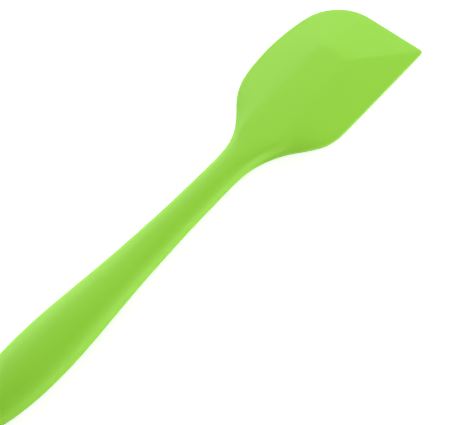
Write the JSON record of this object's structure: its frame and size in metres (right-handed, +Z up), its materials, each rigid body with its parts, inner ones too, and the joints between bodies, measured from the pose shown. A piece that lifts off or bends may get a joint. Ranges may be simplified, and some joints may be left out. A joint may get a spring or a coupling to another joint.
{
  "type": "silicone spatula",
  "caption": "Kitchen spatula in seamless silicone: a tapering oval handle with a hanging hole and a flat scraping blade, square at its tip and rounded at the other front corner.",
  "frame": {"origin": "on the table, under the middle of the tool's bounding box", "axes": "+X along the tool from the handle's end to the blade's tip, +Y across the blade towards its rounded front corner, +Z up from the table"},
  "size_m": [0.2799, 0.0578, 0.0137],
  "materials": {
    "silicone": "matte lime green silicone with a soft sheen",
    "nylon": "matte natural nylon",
    "steel": "plain rolled spring steel"
  },
  "bodies": {
    "root": {"silicone_jacket": "silicone", "nylon_core": "nylon", "steel_strip": "steel"}
  },
  "joints": []
}
